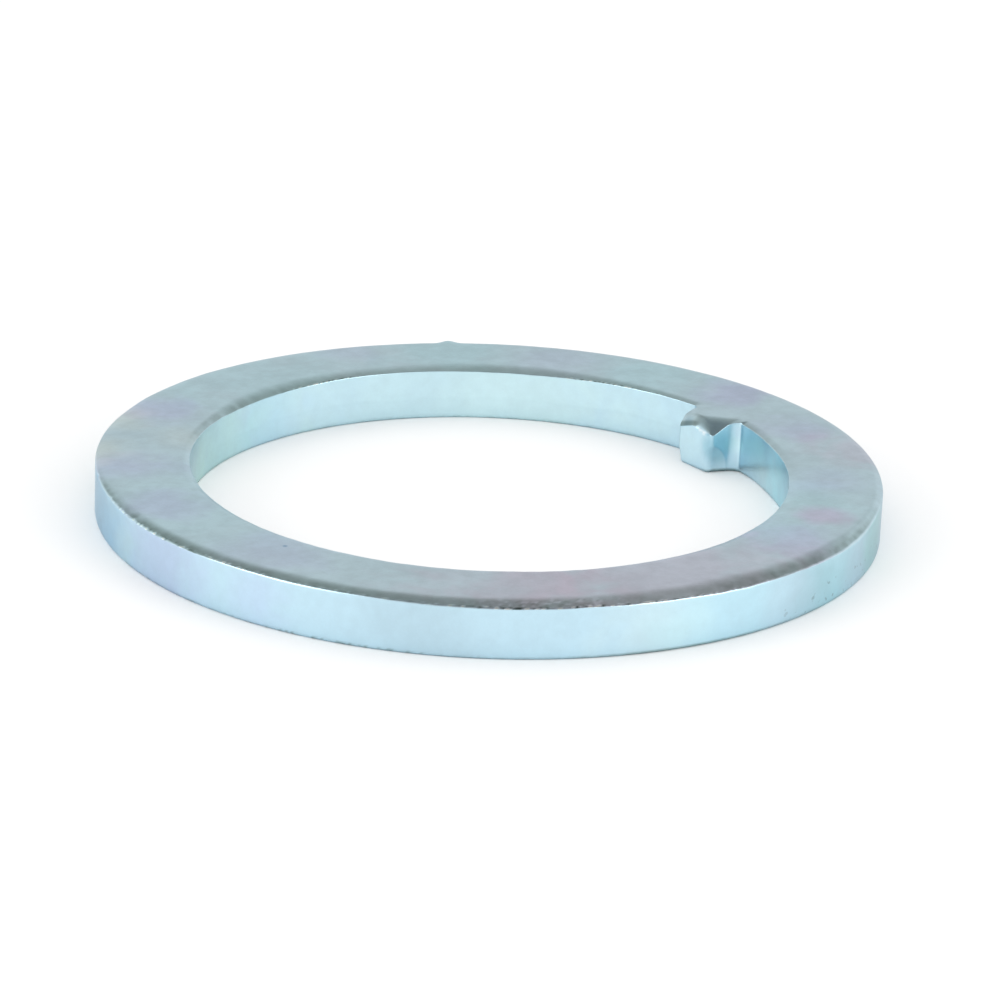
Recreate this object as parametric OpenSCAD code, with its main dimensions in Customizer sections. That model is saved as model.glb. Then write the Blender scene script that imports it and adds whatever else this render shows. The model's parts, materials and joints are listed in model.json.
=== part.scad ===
// Keyed washer for a bicycle headset. It lies between the upper bearing race and the
// lock nut on the threaded steerer tube. Its key runs in the groove cut along the thread,
// so the washer can't turn while the nut is tightened against it.
//
// The ring and its key are blanked from steel strip as one piece. The origin is the
// bore's centre on the lower face, Z is the bore axis, and the key stands in from the
// wall on +X. The punch came from above, so the upper edges droop, most of all round the
// key's tip. The lower edges are only just broken, but the key's two lower corners are
// torn hollow, where the metal parted before the punch was through.

/* [Ring] */
// Diameter over the outer wall
outer_d = 33.5; // [32:0.5:45]
// Diameter of the bore
bore_d = 25.5; // [22:0.5:27]
// Thickness from face to face
thickness = 2.35; // [1.8:0.05:4]

/* [Key] */
// Width between the key's flanks
key_w = 2.3; // [1.8:0.1:3.2]
// How far the key stands in from the bore wall
key_reach = 1.25; // [1.25:0.05:2]
// Radius of the key's two upright corners
key_corner_r = 0.17; // [0.1:0.01:0.5]
// Radius of the fillet where each flank meets the bore wall
key_root_r = 0.45; // [0.2:0.05:0.5]

/* [Upper edges] */
// Width of the droop round the outer wall
outer_droop_w = 0.75; // [0.2:0.05:1]
// Slope of the droop round the outer wall, in degrees
outer_droop_tilt = 20; // [5:1:40]
// Width of the droop round the bore
bore_droop_w = 0.45; // [0.2:0.05:0.8]
// Slope of the droop round the bore, in degrees
bore_droop_tilt = 18; // [5:1:40]
// Width of the droop along the key's tip
tip_droop_w = 0.65; // [0.4:0.05:0.8]
// Slope of the droop along the key's tip, in degrees
tip_droop_tilt = 42; // [20:1:50]
// Width of the deeper droop over each corner of the tip, from the corner inwards
corner_droop_w = 1.25; // [0.9:0.05:1.4]
// Slope of the deeper droop over each corner, in degrees
corner_droop_tilt = 36; // [20:1:42]

/* [Lower edges] */
// Radius that breaks the lower edges
break_r = 0.12; // [0.05:0.01:0.2]
// Radius of the round hollow torn in each flank of the key, below its corner
tear_r = 0.85; // [0.4:0.05:0.85]
// Depth of that hollow
tear_depth = 0.22; // [0.05:0.01:0.3]

/* [Hidden] */
outer_r = outer_d / 2;
bore_r = bore_d / 2;
tip_x = bore_r - key_reach;

// The key's body runs on into the ring until it is past the droop round the bore
seat_x = bore_r + bore_droop_w + 0.3;

// Centre of a root fillet, which touches the flank's line and, from inside, the bore wall
root_y = key_w / 2 + key_root_r;
root_x = sqrt(pow(bore_r - key_root_r, 2) - pow(root_y, 2));
root_angle = atan2(root_y, root_x);

// How tightly the face bends down into a droop, which then runs straight to the wall
droop_bend_r = 0.5;
corner_bend_r = 1.6;

// A corner's droop starts along a straight fold across the key's top. This is how far
// the fold is turned from the tip's edge towards the flank.
fold_angle = 33;

// A tear is part of a ball. Its centre stands this far in front of the tip, and this
// high over the lower face.
tear_ahead = 0.2;
tear_z = 0.3;
tear_ball_r = (pow(tear_r, 2) + pow(tear_depth, 2)) / (2 * tear_depth);

// How far a shape that cuts or crops stands clear of the metal
clear = 1;

$fn = 180;

// What a round edge takes off a square corner. The corner is at the origin, with the
// metal to its left and below.
module edge_off(r) {
    difference() {
        translate([-r, -r]) square(r + clear);
        translate([-r, -r]) circle(r = r);
    }
}

// What a droop takes off a square corner in the same place: the top bends down w from the
// corner, and runs on straight at its tilt
module droop_off(w, tilt, bend_r) {
    ramp = [bend_r * sin(tilt) - w, bend_r * (cos(tilt) - 1)];
    difference() {
        polygon([
            [-w, 0],
            ramp,
            [clear, ramp.y - (clear - ramp.x) * tan(tilt)],
            [clear, clear],
            [-w, clear]
        ]);
        translate([-w, -bend_r]) circle(r = bend_r);
    }
}

module ring_section() {
    difference() {
        translate([bore_r, 0]) square([outer_r - bore_r, thickness]);
        translate([outer_r, thickness])
            droop_off(outer_droop_w, outer_droop_tilt, droop_bend_r);
        translate([bore_r, thickness]) mirror([1, 0])
            droop_off(bore_droop_w, bore_droop_tilt, droop_bend_r);
        translate([outer_r, 0]) mirror([0, 1]) edge_off(break_r);
        translate([bore_r, 0]) rotate(180) edge_off(break_r);
    }
}

module ring() {
    rotate_extrude() ring_section();
}

// The metal between a flank's line, the bore wall and the fillet's arc, on the +Y side
module root_fillet() {
    difference() {
        polygon([
            [root_x, 0],
            [root_x, root_y],
            bore_r * [cos(root_angle), sin(root_angle)],
            seat_x * [cos(root_angle), sin(root_angle)],
            [seat_x, 0]
        ]);
        translate([root_x, root_y]) circle(r = key_root_r);
    }
}

// The key from above: a tongue with round corners and a fillet on each side of its root
module key_outline() {
    difference() {
        translate([tip_x, -key_w / 2]) square([seat_x - tip_x, key_w]);
        for (side = [0, 1]) mirror([0, side])
            translate([tip_x, key_w / 2]) mirror([1, 0]) edge_off(key_corner_r);
    }
    for (side = [0, 1]) mirror([0, side]) root_fillet();
}

// The key from its side: the droop along the tip and the broken edge below it
module key_side() {
    difference() {
        translate([tip_x, 0]) square([seat_x - tip_x, thickness]);
        translate([tip_x, thickness]) mirror([1, 0])
            droop_off(tip_droop_w, tip_droop_tilt, droop_bend_r);
        translate([tip_x, 0]) rotate(180) edge_off(break_r);
    }
}

// What the deeper droop takes off the tip's corner on the +Y side
module corner_off() {
    translate([tip_x, key_w / 2, thickness])
        rotate([90, 0, 180 - fold_angle])
            linear_extrude(3 * key_w, center = true)
                droop_off(corner_droop_w, corner_droop_tilt, corner_bend_r);
}

// What is torn out below that corner. It stays on the key, short of the root fillet.
module tear_off() {
    intersection() {
        translate([tip_x - tear_ahead, key_w / 2 + tear_ball_r - tear_depth, tear_z])
            sphere(r = tear_ball_r);
        translate([tip_x - clear, 0, -clear])
            cube([root_x - tip_x + clear, key_w / 2 + clear, thickness + 2 * clear]);
    }
}

module key() {
    difference() {
        intersection() {
            linear_extrude(thickness) key_outline();
            rotate([90, 0, 0]) linear_extrude(2 * seat_x, center = true) key_side();
        }
        for (side = [0, 1]) mirror([0, side, 0]) {
            corner_off();
            tear_off();
        }
    }
}

module washer() {
    color("lightsteelblue") {
        ring();
        key();
    }
}

washer();
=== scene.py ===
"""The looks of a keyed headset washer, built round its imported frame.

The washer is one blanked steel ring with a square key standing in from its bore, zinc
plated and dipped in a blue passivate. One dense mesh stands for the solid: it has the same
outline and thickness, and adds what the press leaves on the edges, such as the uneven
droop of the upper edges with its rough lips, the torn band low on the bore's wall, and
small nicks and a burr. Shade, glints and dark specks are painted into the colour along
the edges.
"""

import json
import logging
import math
from dataclasses import dataclass, field
from enum import Enum

import bpy
import numpy as np
from mathutils import Matrix, Vector

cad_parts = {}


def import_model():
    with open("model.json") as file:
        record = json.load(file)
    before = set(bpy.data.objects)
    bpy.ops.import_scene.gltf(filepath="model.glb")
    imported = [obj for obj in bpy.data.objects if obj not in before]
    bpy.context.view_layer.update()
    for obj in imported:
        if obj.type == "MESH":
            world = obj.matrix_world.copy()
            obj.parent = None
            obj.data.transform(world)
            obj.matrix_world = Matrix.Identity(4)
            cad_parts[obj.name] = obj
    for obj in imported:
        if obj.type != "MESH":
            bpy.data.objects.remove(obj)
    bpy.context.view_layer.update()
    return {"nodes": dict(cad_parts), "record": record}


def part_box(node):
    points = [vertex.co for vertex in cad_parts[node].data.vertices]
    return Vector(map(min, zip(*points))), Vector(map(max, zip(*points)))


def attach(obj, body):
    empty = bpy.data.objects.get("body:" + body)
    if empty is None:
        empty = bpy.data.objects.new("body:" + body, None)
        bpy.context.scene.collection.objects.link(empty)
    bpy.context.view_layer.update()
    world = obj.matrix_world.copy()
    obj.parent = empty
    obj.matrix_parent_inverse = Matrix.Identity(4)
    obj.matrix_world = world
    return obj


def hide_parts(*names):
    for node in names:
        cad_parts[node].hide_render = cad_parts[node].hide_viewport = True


MM = 0.001
BODY = "root"
NODE = "washer"

Point = tuple[float, float]

# Rows of an angle round the ring, in degrees from the key, and the values there
Stops = tuple[tuple[float, ...], ...]

log = logging.getLogger("headset_washer")


# ---------------------------------------------------------------- small helpers


def smoothstep(low: float, high: float, x: np.ndarray) -> np.ndarray:
    """Rises smoothly from 0 at low to 1 at high.

    Args:
        low: Where the rise starts.
        high: Where the rise ends. It may be below low, and then the step falls.
        x: The values to look up.

    Returns:
        The step's height at each value.
    """
    t = np.clip((x - low) / (high - low), 0.0, 1.0)
    return t * t * (3.0 - 2.0 * t)


def bump(x: np.ndarray, width: float) -> np.ndarray:
    """A bell of height 1 at 0 that has died out two widths away."""
    return np.exp(-((x / width) ** 2) * 2.0)


def lattice_noise(points: np.ndarray, size: float, seed: int) -> np.ndarray:
    """Smooth noise from a hashed lattice, the same on every run.

    Args:
        points: Rows of two or three coordinates.
        size: The lattice's pitch, in the points' own unit.
        seed: Which noise, so that two effects don't line up.

    Returns:
        One value from -1 to 1 for each row.
    """
    scaled = np.asarray(points, float) / size
    cell = np.floor(scaled).astype(np.int64)
    part = scaled - cell
    part = part * part * (3.0 - 2.0 * part)
    dims = scaled.shape[1]
    primes = np.array([73856093, 19349663, 83492791][:dims], np.int64)
    total = np.zeros(len(scaled))
    for corner in range(2**dims):
        offset = np.array([(corner >> d) & 1 for d in range(dims)], np.int64)
        key = ((cell + offset) * primes).sum(axis=1) + seed * 7919
        key = (key ^ (key >> 13)) * 1274126177 & 0x7FFFFFFF
        key = (key ^ (key >> 16)) & 0xFFFF
        weight = np.where(offset, part, 1.0 - part).prod(axis=1)
        total += weight * (key / 32767.5 - 1.0)
    return total


def bent(past: np.ndarray, slope: np.ndarray, curve: np.ndarray) -> np.ndarray:
    """How far a face that bends down towards a wall has dropped.

    Args:
        past: Distance past the start of the bend, none where it is negative.
        slope: The slope that the face reaches and keeps.
        curve: The distance over which it gets there.

    Returns:
        The drop.
    """
    u = np.maximum(past, 0.0)
    return slope * np.where(u < curve, u * u / (2 * curve), u - curve / 2)


def around(stops: Stops, degrees: np.ndarray, column: int = 1) -> np.ndarray:
    """Looks up a value that changes round the ring.

    Args:
        stops: The values at some angles.
        degrees: The angles to look up, from 0 to 360.
        column: Which of a row's values to take.

    Returns:
        The value at each angle.
    """
    return np.interp(degrees, [row[0] for row in stops], [row[column] for row in stops])


def spell(degrees: np.ndarray, place: tuple[float, float, float]) -> np.ndarray:
    """A rise round one place on the ring, given its angle, width and height."""
    angle, width, height = place
    return height * bump(degrees - angle, width)


def arc_points(
    centre: Point, r: float, start: float, end: float, count: int, sign: float
) -> tuple[np.ndarray, np.ndarray]:
    """Lays points along an arc, without its last one.

    Args:
        centre: The arc's centre.
        r: Its radius.
        start: The angle where it starts, in radians.
        end: The angle where it ends.
        count: How many points it has.
        sign: 1 where the metal is outside the arc, -1 where it is inside.

    Returns:
        The points, and at each the direction into the metal.
    """
    angle = start + (end - start) * np.arange(count) / count
    ray = np.stack([np.cos(angle), np.sin(angle)], 1)
    return np.array(centre) + r * ray, sign * ray


def line_points(
    start: Point, end: Point, count: int, inward: Point
) -> tuple[np.ndarray, np.ndarray]:
    """Lays points along a straight stretch, without its last one.

    Args:
        start: Where it starts.
        end: Where it ends.
        count: How many points it has.
        inward: The direction into the metal.

    Returns:
        The points, and that direction at each.
    """
    t = (np.arange(count) / count)[:, None]
    points = np.array(start) * (1 - t) + np.array(end) * t
    return points, np.tile(np.array(inward, float), (count, 1))


def direction(azimuth_deg: float, elevation_deg: float) -> Vector:
    """The direction away from the washer at an azimuth from the key and an elevation."""
    a, e = math.radians(azimuth_deg), math.radians(elevation_deg)
    return Vector((math.cos(a) * math.cos(e), math.sin(a) * math.cos(e), math.sin(e)))


def link_object(obj: bpy.types.Object) -> bpy.types.Object:
    """Puts an object into the scene and gives it back."""
    bpy.context.scene.collection.objects.link(obj)
    return obj


# ---------------------------------------------------------------- node tree helpers


@dataclass
class Nodes:
    """A node tree with short calls for adding nodes and linking them.

    Attributes:
        tree: The tree that nodes are added to.
    """

    tree: bpy.types.NodeTree

    def add(self, kind: str, **settings: object) -> bpy.types.Node:
        """Adds a node.

        Args:
            kind: The node's type name.
            settings: Properties to set on it.

        Returns:
            The new node.
        """
        node = self.tree.nodes.new(kind)
        for name, value in settings.items():
            setattr(node, name, value)
        return node

    def join(self, source: bpy.types.NodeSocket, target: bpy.types.NodeSocket) -> None:
        """Links an output to an input."""
        self.tree.links.new(source, target)

    def put(self, target: bpy.types.NodeSocket, value: object) -> None:
        """Feeds an input.

        Args:
            target: The input.
            value: Another node's output, or a constant.
        """
        if isinstance(value, bpy.types.NodeSocket):
            self.join(value, target)
        else:
            target.default_value = value

    def end(self, kind: str, shader: bpy.types.NodeSocket) -> None:
        """Adds the output node of a material or a world, and feeds its surface."""
        self.join(shader, self.add(kind).inputs["Surface"])

    def math(self, operation: str, a: object, b: object = 0.0) -> bpy.types.NodeSocket:
        """Adds a Math node.

        Args:
            operation: The node's operation, such as MULTIPLY.
            a: First input, an output or a number.
            b: Second input, an output or a number.

        Returns:
            The node's output.
        """
        node = self.add("ShaderNodeMath", operation=operation)
        self.put(node.inputs[0], a)
        self.put(node.inputs[1], b)
        return node.outputs[0]

    def ramp(
        self, value: object, low: float, high: float, to_low: float = 0.0, to_high: float = 1.0
    ) -> bpy.types.NodeSocket:
        """Adds a smooth Map Range node.

        Args:
            value: What is mapped.
            low: The value that becomes to_low.
            high: The value that becomes to_high.
            to_low: Result at and below low.
            to_high: Result at and above high.

        Returns:
            The node's output.
        """
        node = self.add("ShaderNodeMapRange", interpolation_type="SMOOTHSTEP")
        self.put(node.inputs["Value"], value)
        node.inputs["From Min"].default_value = low
        node.inputs["From Max"].default_value = high
        node.inputs["To Min"].default_value = to_low
        node.inputs["To Max"].default_value = to_high
        return node.outputs["Result"]

    def mix(self, factor: object, a: object, b: object, blend: str = "MIX") -> bpy.types.NodeSocket:
        """Adds a colour Mix node.

        Args:
            factor: How much of b, an output or a number.
            a: First colour.
            b: Second colour.
            blend: The node's blend type.

        Returns:
            The node's colour output.
        """
        node = self.add("ShaderNodeMix", data_type="RGBA", blend_type=blend)
        self.put(node.inputs[0], factor)
        self.put(node.inputs[6], a)
        self.put(node.inputs[7], b)
        return node.outputs[2]

    def noise(
        self,
        vector: bpy.types.NodeSocket,
        scale: float,
        detail: float = 2.0,
        roughness: float = 0.5,
        distortion: float = 0.0,
    ) -> bpy.types.NodeSocket:
        """Adds a Noise Texture.

        Args:
            vector: Where the noise is looked up.
            scale: Lattice cells to the metre.
            detail: How many finer layers are added.
            roughness: How strong those finer layers are.
            distortion: How far the noise is bent by itself.

        Returns:
            The noise's value, about 0 to 1.
        """
        node = self.add("ShaderNodeTexNoise")
        self.join(vector, node.inputs["Vector"])
        node.inputs["Scale"].default_value = scale
        node.inputs["Detail"].default_value = detail
        node.inputs["Roughness"].default_value = roughness
        node.inputs["Distortion"].default_value = distortion
        return node.outputs["Fac"]


class SocketKind(Enum):
    """What a node group's socket carries."""

    NUMBER = "NodeSocketFloat"
    VECTOR = "NodeSocketVector"


@dataclass
class GroupBuilder:
    """A shader node group with named inputs and outputs.

    Attributes:
        name: The group's name.
        inputs: Name, kind and default of each input.
        outputs: Name and kind of each output.
        nodes: The nodes inside it.
        into: What each input gives to the nodes, by name.
        out: What takes each output's value, by name.
    """

    name: str
    inputs: list[tuple[str, SocketKind, object]]
    outputs: list[tuple[str, SocketKind]]
    nodes: Nodes = field(init=False)
    into: dict[str, bpy.types.NodeSocket] = field(init=False)
    out: dict[str, bpy.types.NodeSocket] = field(init=False)

    def __post_init__(self) -> None:
        """Makes the group, its sockets and its two end nodes."""
        tree = bpy.data.node_groups.new(self.name, "ShaderNodeTree")
        for name, kind, default in self.inputs:
            socket = tree.interface.new_socket(name=name, in_out="INPUT", socket_type=kind.value)
            if default is not None:
                socket.default_value = default
        for name, kind in self.outputs:
            tree.interface.new_socket(name=name, in_out="OUTPUT", socket_type=kind.value)
        self.nodes = Nodes(tree)
        entry = self.nodes.add("NodeGroupInput")
        end = self.nodes.add("NodeGroupOutput")
        self.into = {name: entry.outputs[name] for name, _, _ in self.inputs}
        self.out = {name: end.inputs[name] for name, _ in self.outputs}


def place_group(nodes: Nodes, tree: bpy.types.NodeTree, **values: object) -> bpy.types.Node:
    """Puts a node group into a material.

    Args:
        nodes: The material's nodes.
        tree: The group.
        values: One value or output for each input, with underscores for spaces.

    Returns:
        The group's node.
    """
    node = nodes.add("ShaderNodeGroup", node_tree=tree)
    for name, value in values.items():
        nodes.put(node.inputs[name.replace("_", " ")], value)
    return node


def empty_nodes(owner: bpy.types.ID) -> Nodes:
    """Clears the nodes of a material or a world.

    Args:
        owner: The material or the world.

    Returns:
        Its nodes, none so far.
    """
    owner.use_nodes = True
    owner.node_tree.nodes.clear()
    return Nodes(owner.node_tree)


def seen_directly(nodes: Nodes) -> bpy.types.NodeSocket:
    """Marks the rays that show a thing to the camera, in metal or through glass.

    Args:
        nodes: The nodes of the material or the world.

    Returns:
        An output that is 1 for those rays and 0 for the others.
    """
    path = nodes.add("ShaderNodeLightPath")
    seen = nodes.math("MAXIMUM", path.outputs["Is Camera Ray"], path.outputs["Is Glossy Ray"])
    return nodes.math("MAXIMUM", seen, path.outputs["Is Transmission Ray"])


# ---------------------------------------------------------------- shared shader effects


def tint_patch_group() -> bpy.types.NodeTree:
    """Builds the effect of a cloudy patch round a point, for the passivate's tints and for the
    painted highlight and shade.

    Returns:
        The group, whose Mask is 1 in the middle of the patch.
    """
    group = GroupBuilder(
        "tint_patch",
        [
            ("Vector", SocketKind.VECTOR, None),
            ("Centre", SocketKind.VECTOR, None),
            ("Radius", SocketKind.NUMBER, 0.005),
            ("Strength", SocketKind.NUMBER, 0.5),
        ],
        [("Mask", SocketKind.NUMBER)],
    )
    n = group.nodes
    away = n.add("ShaderNodeVectorMath", operation="DISTANCE")
    n.join(group.into["Vector"], away.inputs[0])
    n.join(group.into["Centre"], away.inputs[1])
    share = n.math("DIVIDE", away.outputs["Value"], group.into["Radius"])
    cloud = n.noise(group.into["Vector"], 420.0, detail=3.0, roughness=0.5, distortion=0.4)
    ragged = n.math("ADD", share, n.math("MULTIPLY", n.math("SUBTRACT", cloud, 0.5), 1.3))
    n.put(group.out["Mask"], n.math("MULTIPLY", n.ramp(ragged, 1.0, 0.15), group.into["Strength"]))
    return group.nodes.tree


def grain_group() -> bpy.types.NodeTree:
    """Builds the plated surface's grain, from soft clouds down to fine crystals.

    Returns:
        The group, with a Height for bumps and a Shade about 0.5.
    """
    group = GroupBuilder(
        "plated_grain",
        [("Vector", SocketKind.VECTOR, None)],
        [("Height", SocketKind.NUMBER), ("Shade", SocketKind.NUMBER)],
    )
    n = group.nodes
    crystals = n.noise(group.into["Vector"], 9000.0, detail=2.0, roughness=0.6)
    lumps = n.noise(group.into["Vector"], 1900.0, detail=2.0, roughness=0.5)
    clouds = n.noise(group.into["Vector"], 520.0, detail=2.0, roughness=0.45)
    height = n.math("ADD", n.math("MULTIPLY", crystals, 0.35), n.math("MULTIPLY", lumps, 0.65))
    n.put(group.out["Height"], height)
    shade = n.math("ADD", n.math("MULTIPLY", lumps, 0.45), n.math("MULTIPLY", clouds, 0.35))
    n.put(group.out["Shade"], n.math("ADD", shade, n.math("MULTIPLY", crystals, 0.2)))
    return group.nodes.tree


def pit_group() -> bpy.types.NodeTree:
    """Builds small scattered pits in the plating.

    Returns:
        The group, whose Mask is 1 in a pit.
    """
    group = GroupBuilder(
        "pits",
        [("Vector", SocketKind.VECTOR, None), ("Amount", SocketKind.NUMBER, 0.5)],
        [("Mask", SocketKind.NUMBER)],
    )
    n = group.nodes
    spots = n.noise(group.into["Vector"], 3600.0, detail=1.0, roughness=0.4)
    n.put(group.out["Mask"], n.math("MULTIPLY", n.ramp(spots, 0.64, 0.74), group.into["Amount"]))
    return group.nodes.tree


# ---------------------------------------------------------------- finishes


class Tint(Enum):
    """What each patch does to the plain film's colour.

    Most are tints of the passivate film; SMOKE and PALE only darken and lighten it, the
    brightest paints a highlight, and the darkest paints shade on the key and one dark speck.
    """

    MAUVE = (1.09, 0.91, 0.95)
    MAGENTA = (1.08, 0.85, 0.95)
    LILAC = (1.01, 0.91, 1.03)
    STRAW = (1.17, 1.07, 0.98)
    AQUA = (0.93, 1.12, 1.13)
    # A painted highlight, brighter than any colour of the film
    PAINTED_HIGHLIGHT = (1.75, 1.30, 1.15)
    CYAN = (0.97, 1.05, 1.04)
    PALE = (1.12, 1.10, 1.05)
    SEA = (1.06, 1.04, 0.97)
    TEAL = (0.84, 0.98, 0.95)
    GREEN = (0.88, 1.02, 0.93)
    STEEL = (0.82, 0.93, 1.03)
    # Painted shade on the key, and in one place a dark speck
    SPECK_AND_SHADE = (0.50, 0.64, 0.74)
    SMOKE = (0.90, 0.89, 0.89)


@dataclass(frozen=True)
class TintPatch:
    """A cloudy patch of one tint: mostly of the passivate, in a few places painted highlight and
    shade.

    Attributes:
        tint: The patch's tint.
        angle_deg: Its place round the ring, from the key.
        radius_mm: Its distance from the bore's axis.
        size_mm: How far it spreads.
        strength: How strongly it shows.
        height_mm: Its height over the lower face.
    """

    tint: Tint
    angle_deg: float
    radius_mm: float
    size_mm: float
    strength: float = 0.8
    height_mm: float = 2.35

    def centre(self) -> tuple[float, float, float]:
        """Finds the patch's middle.

        Returns:
            The point, in metres.
        """
        a = math.radians(self.angle_deg)
        r = self.radius_mm * MM
        return (r * math.cos(a), r * math.sin(a), self.height_mm * MM)


def tint_patches(tint: Tint, *rows: tuple[float, ...]) -> list[TintPatch]:
    """Makes patches of one tint.

    Args:
        tint: The tint.
        rows: Each patch's angle, radius and size, and its strength and height if needed.

    Returns:
        The patches.
    """
    return [TintPatch(tint, *row) for row in rows]


@dataclass(frozen=True)
class ZincPassivate:
    """Zinc plate under a thin blue passivate film.

    Attributes:
        face: Colour of the flat faces.
        wall: Colour of the sheared walls.
        roughness_face: Roughness of the flat faces.
        roughness_wall: Roughness of the walls.
        edge_tint_face: How much a grazing view darkens the faces, where 1 is not at all.
        edge_tint_wall: The same for the walls.
        grain_shade: How far the grain lightens and darkens the faces.
        grain_on_walls: How much of that the walls show.
        pit_shade: What is left of the brightness in a pit.
        torn_shade: What is left of it where the metal is torn.
        torn_roughness: How much rougher the metal is there.
        painted_shade_loss: What is lost of it where shade is painted along an edge.
        painted_shade_tint: What that painted shade does to the film's colour.
        bump_strength: How strongly the grain and the pits bend the light.
        bump_height: How high the grain stands, in metres.
        face_patches: Where the film shows other tints on the upper face, among them painted
            shade on the key's top and a dark speck.
        wall_patches: Where it shows them on the walls, among them a painted highlight on the
            key's tip and painted shade on its -Y flank.
    """

    face: tuple[float, float, float] = (0.64, 0.81, 0.885)
    wall: tuple[float, float, float] = (0.55, 0.755, 0.86)
    roughness_face: float = 0.36
    roughness_wall: float = 0.30
    edge_tint_face: float = 0.6
    edge_tint_wall: float = 0.68
    grain_shade: float = 0.07
    grain_on_walls: float = 0.5
    pit_shade: float = 0.72
    torn_shade: float = 0.9
    torn_roughness: float = 0.08
    painted_shade_loss: float = 0.8
    painted_shade_tint: tuple[float, float, float] = (0.84, 0.92, 0.82)
    bump_strength: float = 0.2
    bump_height: float = 0.02 * MM
    face_patches: tuple[TintPatch, ...] = ()
    wall_patches: tuple[TintPatch, ...] = ()

    def material(self) -> bpy.types.Material:
        """Builds the material.

        Returns:
            The material, which reads the mesh's wall, torn and pitted attributes, and the one
            that carries the shade and glints painted along the edges.
        """
        material = bpy.data.materials.new("zinc_passivate")
        n = empty_nodes(material)
        place = n.add("ShaderNodeTexCoord").outputs["Object"]
        wall, torn, pitted, edge_shade_and_glints = (
            n.add("ShaderNodeAttribute", attribute_name=name).outputs["Fac"]
            for name in ("wall", "torn", "pitted", "edge_shade_and_glints")
        )
        face = n.math("SUBTRACT", 1.0, wall)
        grain = place_group(n, grain_group(), Vector=place)
        pits = place_group(n, pit_group(), Vector=place, Amount=pitted)

        colour = n.mix(wall, (*self.face, 1.0), (*self.wall, 1.0))
        colour = self.tinted(n, colour, place, face, self.face_patches)
        colour = self.tinted(n, colour, place, wall, self.wall_patches)
        shade = n.ramp(grain.outputs["Shade"], 0.3, 0.7, -self.grain_shade, self.grain_shade)
        shown = n.ramp(wall, 0.0, 1.0, 1.0, self.grain_on_walls)
        shade = n.math("ADD", 1.0, n.math("MULTIPLY", shade, shown))
        pit_shade = n.ramp(pits.outputs["Mask"], 0.0, 1.0, 1.0, self.pit_shade)
        shade = n.math("MULTIPLY", shade, pit_shade)
        shade = n.math("MULTIPLY", shade, n.ramp(torn, 0.0, 1.0, 1.0, self.torn_shade))
        # The shade painted along the edges darkens and tints the colour, and where that mark is
        # negative its painted glints lighten it
        kept = n.math("SUBTRACT", 1.0, n.math("MULTIPLY", edge_shade_and_glints, self.painted_shade_loss))
        shade = n.math("MULTIPLY", shade, kept)
        colour = n.mix(edge_shade_and_glints, colour, (*self.painted_shade_tint, 1.0), blend="MULTIPLY")
        shaded = n.add("ShaderNodeVectorMath", operation="SCALE")
        n.join(colour, shaded.inputs[0])
        n.join(shade, shaded.inputs["Scale"])

        rough = n.ramp(wall, 0.0, 1.0, self.roughness_face, self.roughness_wall)
        rough = n.math("ADD", rough, n.math("MULTIPLY", torn, self.torn_roughness))

        relief = n.add("ShaderNodeBump")
        relief.inputs["Strength"].default_value = self.bump_strength
        relief.inputs["Distance"].default_value = self.bump_height
        height = n.math("SUBTRACT", grain.outputs["Height"], pits.outputs["Mask"])
        n.join(height, relief.inputs["Height"])

        shader = n.add("ShaderNodeBsdfPrincipled")
        shader.inputs["Metallic"].default_value = 1.0
        edge_tint = n.ramp(wall, 0.0, 1.0, self.edge_tint_face, self.edge_tint_wall)
        n.join(edge_tint, shader.inputs["Specular Tint"])
        n.join(shaded.outputs[0], shader.inputs["Base Color"])
        n.join(rough, shader.inputs["Roughness"])
        n.join(relief.outputs["Normal"], shader.inputs["Normal"])
        n.end("ShaderNodeOutputMaterial", shader.outputs[0])
        return material

    def tinted(
        self,
        n: Nodes,
        colour: bpy.types.NodeSocket,
        place: bpy.types.NodeSocket,
        where: bpy.types.NodeSocket,
        patches: tuple[TintPatch, ...],
    ) -> bpy.types.NodeSocket:
        """Lays patches of tint over a colour.

        Args:
            n: The material's nodes.
            colour: The colour so far.
            place: The point on the washer.
            where: 1 where the patches may show, 0 elsewhere.
            patches: The patches.

        Returns:
            The tinted colour.
        """
        tree = bpy.data.node_groups.get("tint_patch") or tint_patch_group()
        for patch in patches:
            mask = place_group(
                n,
                tree,
                Vector=place,
                Centre=patch.centre(),
                Radius=patch.size_mm * MM,
                Strength=patch.strength,
            )
            share = n.math("MULTIPLY", mask.outputs["Mask"], where)
            colour = n.mix(share, colour, (*patch.tint.value, 1.0), blend="MULTIPLY")
        return colour


@dataclass(frozen=True)
class WhitePaper:
    """The pale sheet that the washer lies on.

    Attributes:
        colour: The sheet's colour.
        glow: How much white it adds of its own to what looks at it.
    """

    colour: tuple[float, float, float] = (0.93, 0.93, 0.93)
    glow: float = 0.05

    def material(self) -> bpy.types.Material:
        """Builds the material, which looks white to the camera and in the metal.

        Returns:
            The material.
        """
        material = bpy.data.materials.new("white_paper")
        n = empty_nodes(material)
        paper = n.add("ShaderNodeBsdfDiffuse")
        paper.inputs["Color"].default_value = (*self.colour, 1.0)
        glow = n.add("ShaderNodeEmission")
        glow.inputs["Color"].default_value = (1.0, 1.0, 1.0, 1.0)
        n.join(n.math("MULTIPLY", seen_directly(n), self.glow), glow.inputs["Strength"])
        both = n.add("ShaderNodeAddShader")
        n.join(paper.outputs[0], both.inputs[0])
        n.join(glow.outputs[0], both.inputs[1])
        n.end("ShaderNodeOutputMaterial", both.outputs[0])
        return material


# ---------------------------------------------------------------- marks of the press, and shade painted on the edges


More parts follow.
